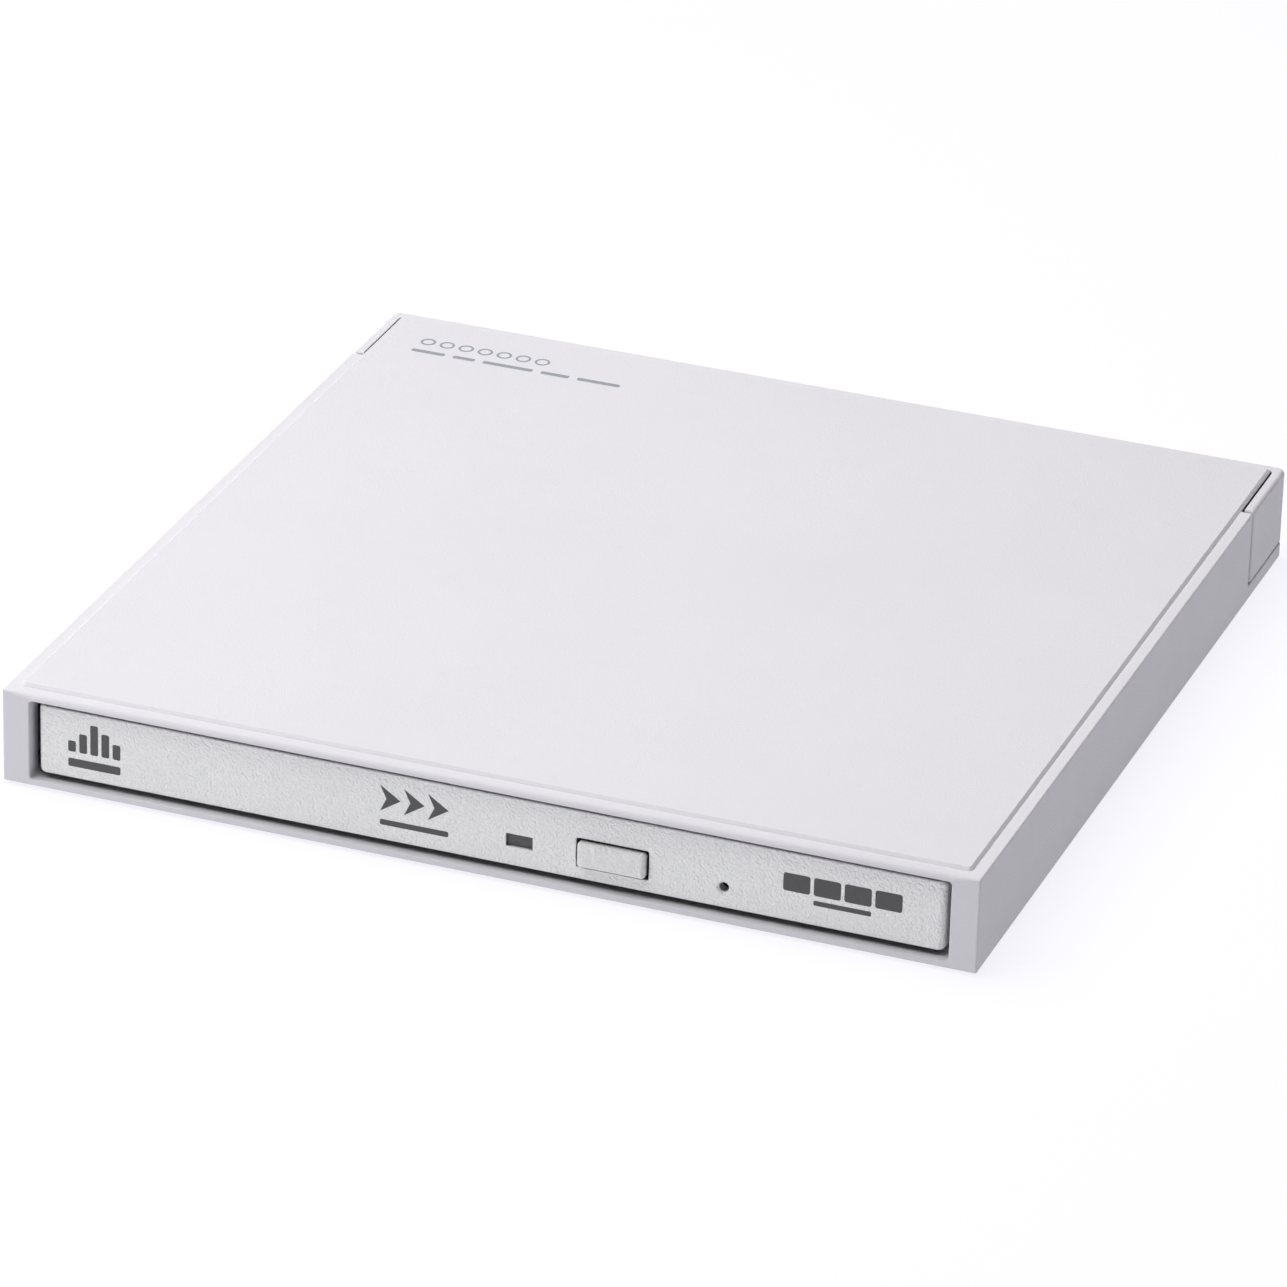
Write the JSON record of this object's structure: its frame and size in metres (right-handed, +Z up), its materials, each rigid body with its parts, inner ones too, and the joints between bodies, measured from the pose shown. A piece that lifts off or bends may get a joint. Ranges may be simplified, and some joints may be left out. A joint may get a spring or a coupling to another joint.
{
  "type": "external optical drive",
  "caption": "Slim portable disc drive: flat square case with a raised top plate, a rear cap and a sliding tray that carries the spindle and the pickup.",
  "frame": {"origin": "on the ground under the centre of the case, with the case resting on its rubber feet", "axes": "+Z up, -Y towards the user, the way the tray opens, +X to the user's right when facing the bezel"},
  "size_m": [0.1376, 0.1376, 0.0145],
  "materials": {
    "case_plastic": "fine spark-eroded texture, cool white",
    "bezel_plastic": "fine pebbled grain, pale grey",
    "button_plastic": "fine pebbled grain, pale grey",
    "light_window": "smoked translucent",
    "foot_rubber": "matt",
    "pad_foam": "closed-cell foam",
    "damper_rubber": "soft, matt",
    "screw_steel": "nickel plated",
    "port_steel": "bright drawn shell",
    "zinc_steel": "zinc plated sheet",
    "rail_steel": "stamped, oiled",
    "rod_steel": "ground and polished",
    "brushed_cover": "brushed along the pickup's travel",
    "spring_steel": "drawn wire",
    "cast_zinc": "die cast, bead blasted",
    "copper_coil": "enamelled copper wire",
    "board_laminate": "green solder mask",
    "black_resin": "moulded, fine texture",
    "white_acetal": "natural acetal",
    "flex_film": "polyester film over flat conductors",
    "tray_plastic": "black, fine texture",
    "hub_plastic": "black with a rubber ring",
    "lens_glass": "coated optical glass in a dark holder"
  },
  "bodies": {
    "case": {"upper_shell": "case_plastic", "rear_cap": "case_plastic", "bottom_cover": "case_plastic", "foot_front_left": "foot_rubber", "foot_front_right": "foot_rubber", "foot_rear_left": "foot_rubber", "foot_rear_right": "foot_rubber", "case_screws": "screw_steel", "damping_pads": "pad_foam", "bridge_board": "board_laminate", "bridge_chip": "black_resin", "bridge_screws": "screw_steel", "usb_shell": "port_steel", "usb_tongue": "black_resin", "sata_socket": "black_resin", "drive_pan": "zinc_steel", "drive_cover": "zinc_steel", "cover_screws": "screw_steel", "rail_guide_left": "white_acetal", "rail_guide_right": "white_acetal", "drive_board": "board_laminate", "controller_chip": "black_resin", "motor_driver_chip": "black_resin", "flash_chip": "black_resin", "flex_connector": "white_acetal", "sata_plug": "black_resin", "board_screws": "screw_steel", "flex_cable": "flex_film", "ejector_pusher": "white_acetal", "ejector_spring": "spring_steel"},
    "rail_left": {"slide_rail_left": "rail_steel"},
    "rail_right": {"slide_rail_right": "rail_steel"},
    "tray": {"tray": "tray_plastic", "bezel": "bezel_plastic", "led_window": "light_window", "tray_board": "board_laminate", "eject_switch": "black_resin", "under_plate": "zinc_steel", "traverse_frame": "rail_steel", "traverse_cover": "brushed_cover", "dampers": "damper_rubber", "traverse_screws": "screw_steel", "guide_rod_a": "rod_steel", "guide_rod_b": "rod_steel", "stepper_motor": "zinc_steel", "motor_base": "zinc_steel", "motor_stator": "copper_coil", "latch_solenoid": "copper_coil"},
    "eject_button": {"eject_button": "button_plastic", "switch_plunger": "black_resin"},
    "spindle": {"spindle_rotor": "zinc_steel", "turntable": "hub_plastic"},
    "claw_1": {"hub_claw_1": "white_acetal"},
    "claw_2": {"hub_claw_2": "white_acetal"},
    "claw_3": {"hub_claw_3": "white_acetal"},
    "pickup": {"pickup_sled": "cast_zinc"},
    "lens": {"lens_holder": "lens_glass"},
    "lead_screw": {"lead_screw": "rod_steel"},
    "latch": {"latch_lever": "white_acetal"},
    "plunger": {"latch_plunger": "rod_steel"}
  },
  "joints": [
    {"name": "tray_slide", "type": "slide", "parent": "case", "child": "tray", "axis": [0, -1, 0], "range_m": [0, 0.127], "deforming": ["flex_cable"]},
    {"name": "rail_left_slide", "type": "slide", "parent": "case", "child": "rail_left", "axis": [0, -1, 0], "range_m": [0, 0.0635]},
    {"name": "rail_right_slide", "type": "slide", "parent": "case", "child": "rail_right", "axis": [0, -1, 0], "range_m": [0, 0.0635]},
    {"name": "eject_press", "type": "slide", "parent": "tray", "child": "eject_button", "axis": [0, 1, 0], "range_m": [0, 0.0006], "stiffness_N_per_m": 1500},
    {"name": "spindle_spin", "type": "hinge", "parent": "tray", "child": "spindle", "pos_m": [0, -0.0024, 0.008], "axis": [0, 0, 1], "continuous": true},
    {"name": "claw_1_press", "type": "slide", "parent": "spindle", "child": "claw_1", "axis": [0, -1, 0], "range_m": [0, 0.0005], "stiffness_N_per_m": 800},
    {"name": "claw_2_press", "type": "slide", "parent": "spindle", "child": "claw_2", "axis": [0.866, 0.5, 0], "range_m": [0, 0.0005], "stiffness_N_per_m": 800},
    {"name": "claw_3_press", "type": "slide", "parent": "spindle", "child": "claw_3", "axis": [-0.866, 0.5, 0], "range_m": [0, 0.0005], "stiffness_N_per_m": 800},
    {"name": "pickup_slide", "type": "slide", "parent": "tray", "child": "pickup", "axis": [-0.7071, -0.7071, 0], "range_m": [0, 0.0345]},
    {"name": "lens_focus", "type": "slide", "parent": "pickup", "child": "lens", "axis": [0, 0, 1], "range_m": [-0.0004, 0.0003], "stiffness_N_per_m": 60},
    {"name": "lead_screw_spin", "type": "hinge", "parent": "tray", "child": "lead_screw", "pos_m": [-0.02934, -0.00134, 0.00585], "axis": [-0.7071, -0.7071, 0], "range_deg": [0, 4141]},
    {"name": "latch_swing", "type": "hinge", "parent": "tray", "child": "latch", "pos_m": [0.029, -0.0595, 0.00505], "axis": [0, 0, 1], "range_deg": [-13, 0]},
    {"name": "plunger_slide", "type": "slide", "parent": "tray", "child": "plunger", "axis": [1, 0, 0], "range_m": [0, 0.001], "stiffness_N_per_m": 60}
  ],
  "couplings": [
    {"joint": "rail_left_slide", "follows": "tray_slide", "ratio": 0.5},
    {"joint": "rail_right_slide", "follows": "tray_slide", "ratio": 0.5},
    {"joint": "lead_screw_spin", "follows": "pickup_slide", "rad_per_m": 2094.4},
    {"joint": "latch_swing", "follows": "plunger_slide", "rad_per_m": -226.89}
  ]
}
